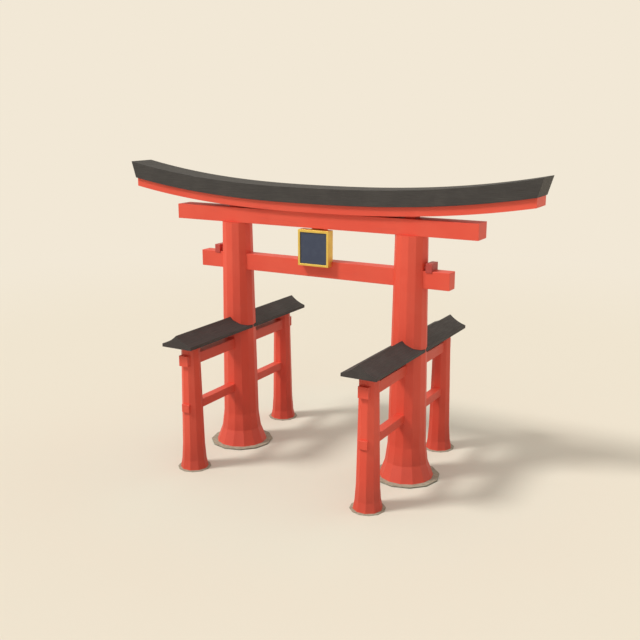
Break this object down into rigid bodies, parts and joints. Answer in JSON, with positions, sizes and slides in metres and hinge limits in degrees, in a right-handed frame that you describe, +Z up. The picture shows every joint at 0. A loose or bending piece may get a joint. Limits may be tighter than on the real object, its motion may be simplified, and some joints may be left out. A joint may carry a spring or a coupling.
{
  "type": "torii gate",
  "caption": "Red torii gate with sleeve pillars: two great flared pillars under curved lintels, braced by short pillars under small roofs, a plaque at the centre.",
  "frame": {"origin": "middle of the gate in plan, on the level of the undersides of the foundation stones", "axes": "+X along the lintels to the right seen from the front, +Y through the gate from front to rear, +Z up"},
  "size_m": [24.774, 11.88, 16.565],
  "materials": {
    "vermilion_timber": "painted, satin",
    "wedge_timber": "painted, satin",
    "dark_cladding": "matt, weathered",
    "bark_roof": "matt, weathered",
    "gilt_frame": "painted, satin",
    "navy_panel": "painted, matt",
    "foundation_stone": "rough"
  },
  "bodies": {
    "root": {"top_lintel": "dark_cladding", "curved_lintel": "vermilion_timber", "straight_lintel": "vermilion_timber", "tie_beam": "vermilion_timber", "plaque_strut": "vermilion_timber", "tie_wedge_left": "wedge_timber", "tie_wedge_right": "wedge_timber", "plaque_frame": "gilt_frame", "plaque_panel": "navy_panel", "main_pillar_left": "vermilion_timber", "side_tie_upper_left": "vermilion_timber", "side_tie_lower_left": "vermilion_timber", "main_stone_left": "foundation_stone", "sleeve_pillar_left_front": "vermilion_timber", "side_roof_left_front": "bark_roof", "sleeve_stone_left_front": "foundation_stone", "sleeve_pillar_left_rear": "vermilion_timber", "side_roof_left_rear": "bark_roof", "sleeve_stone_left_rear": "foundation_stone", "main_pillar_right": "vermilion_timber", "side_tie_upper_right": "vermilion_timber", "side_tie_lower_right": "vermilion_timber", "main_stone_right": "foundation_stone", "sleeve_pillar_right_front": "vermilion_timber", "side_roof_right_front": "bark_roof", "sleeve_stone_right_front": "foundation_stone", "sleeve_pillar_right_rear": "vermilion_timber", "side_roof_right_rear": "bark_roof", "sleeve_stone_right_rear": "foundation_stone"}
  },
  "joints": []
}
